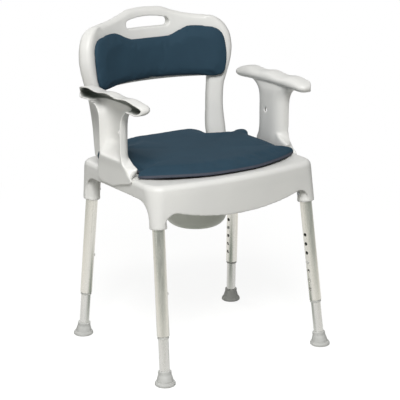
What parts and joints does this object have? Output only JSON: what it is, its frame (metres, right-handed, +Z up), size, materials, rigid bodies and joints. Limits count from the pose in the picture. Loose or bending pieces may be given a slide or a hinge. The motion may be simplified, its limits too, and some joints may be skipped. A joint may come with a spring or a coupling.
{
  "type": "commode chair",
  "caption": "Commode chair: moulded seat with soft lift-off pads, lift-off back and armrests, a slide-out pan and telescopic splayed legs with rubber feet.",
  "frame": {"origin": "middle of the overall box, on the floor", "axes": "+Z up, the sitter faces -Y, +X to the viewer's right when seen from the front"},
  "size_m": [0.5478, 0.53, 0.8765],
  "materials": {
    "shell_plastic": "satin moulded",
    "armrest_plastic": "satin moulded",
    "leg_metal": "coated",
    "bush_plastic": "matte",
    "foot_rubber": "matte",
    "steel": "plain",
    "button_plastic": "satin",
    "rail_plastic": "matte",
    "pan_plastic": "satin",
    "pad_skin": "soft matte skin over foam",
    "pad_base": "matte"
  },
  "bodies": {
    "seat": {"seat_shell": "shell_plastic", "leg_tube_front_left": "leg_metal", "leg_tube_front_right": "leg_metal", "leg_tube_rear_left": "leg_metal", "leg_tube_rear_right": "leg_metal", "leg_bush_front_left": "bush_plastic", "leg_bush_front_right": "bush_plastic", "leg_bush_rear_left": "bush_plastic", "leg_bush_rear_right": "bush_plastic", "socket_screws": "steel", "pan_rail_left": "rail_plastic", "pan_rail_right": "rail_plastic", "pan_rail_screws": "steel"},
    "leg_front_left": {"inner_tube_front_left": "leg_metal", "foot_front_left": "foot_rubber"},
    "button_front_left": {"button_front_left": "button_plastic", "button_spring_front_left": "steel"},
    "leg_front_right": {"inner_tube_front_right": "leg_metal", "foot_front_right": "foot_rubber"},
    "button_front_right": {"button_front_right": "button_plastic", "button_spring_front_right": "steel"},
    "leg_rear_left": {"inner_tube_rear_left": "leg_metal", "foot_rear_left": "foot_rubber"},
    "button_rear_left": {"button_rear_left": "button_plastic", "button_spring_rear_left": "steel"},
    "leg_rear_right": {"inner_tube_rear_right": "leg_metal", "foot_rear_right": "foot_rubber"},
    "button_rear_right": {"button_rear_right": "button_plastic", "button_spring_rear_right": "steel"},
    "armrest_left": {"armrest_left": "armrest_plastic"},
    "armrest_right": {"armrest_right": "armrest_plastic"},
    "backrest": {"backrest_frame": "shell_plastic"},
    "back_pad": {"back_pad": "pad_skin", "back_pad_studs": "pad_base"},
    "seat_pad": {"seat_pad": "pad_skin", "seat_pad_board": "pad_base"},
    "pan": {"pan": "pan_plastic"}
  },
  "joints": [
    {"name": "leg_slide_front_left", "type": "slide", "parent": "seat", "child": "leg_front_left", "axis": [-0.0432, -0.133, -0.9902], "range_m": [-0.075, 0.075]},
    {"name": "button_press_front_left", "type": "slide", "parent": "leg_front_left", "child": "button_front_left", "axis": [-0.9818, 0.1891, 0.0175], "range_m": [0, 0.005], "stiffness_N_per_m": 800, "springref_m": -0.002},
    {"name": "leg_slide_front_right", "type": "slide", "parent": "seat", "child": "leg_front_right", "axis": [0.0432, -0.133, -0.9902], "range_m": [-0.075, 0.075]},
    {"name": "button_press_front_right", "type": "slide", "parent": "leg_front_right", "child": "button_front_right", "axis": [0.9818, 0.1891, 0.0175], "range_m": [0, 0.005], "stiffness_N_per_m": 800, "springref_m": -0.002},
    {"name": "leg_slide_rear_left", "type": "slide", "parent": "seat", "child": "leg_rear_left", "axis": [-0.0435, 0.0871, -0.9953], "range_m": [-0.075, 0.075]},
    {"name": "button_press_rear_left", "type": "slide", "parent": "leg_rear_left", "child": "button_rear_left", "axis": [-0.98, 0.1901, 0.0594], "range_m": [0, 0.005], "stiffness_N_per_m": 800, "springref_m": -0.002},
    {"name": "leg_slide_rear_right", "type": "slide", "parent": "seat", "child": "leg_rear_right", "axis": [0.0435, 0.0871, -0.9953], "range_m": [-0.075, 0.075]},
    {"name": "button_press_rear_right", "type": "slide", "parent": "leg_rear_right", "child": "button_rear_right", "axis": [0.98, 0.1901, 0.0594], "range_m": [0, 0.005], "stiffness_N_per_m": 800, "springref_m": -0.002},
    {"name": "armrest_lift_left", "type": "slide", "parent": "seat", "child": "armrest_left", "axis": [0, 0, 1], "range_m": [0, 0.09]},
    {"name": "armrest_lift_right", "type": "slide", "parent": "seat", "child": "armrest_right", "axis": [0, 0, 1], "range_m": [0, 0.09]},
    {"name": "backrest_lift", "type": "slide", "parent": "seat", "child": "backrest", "axis": [0, 0.158, 0.9874], "range_m": [0, 0.12]},
    {"name": "back_pad_pull", "type": "slide", "parent": "backrest", "child": "back_pad", "axis": [0, -0.9874, 0.158], "range_m": [0, 0.04]},
    {"name": "seat_pad_lift", "type": "slide", "parent": "seat", "child": "seat_pad", "axis": [0, 0, 1], "range_m": [0, 0.12]},
    {"name": "pan_slide", "type": "slide", "parent": "seat", "child": "pan", "axis": [0, 1, 0], "range_m": [0, 0.3]}
  ]
}
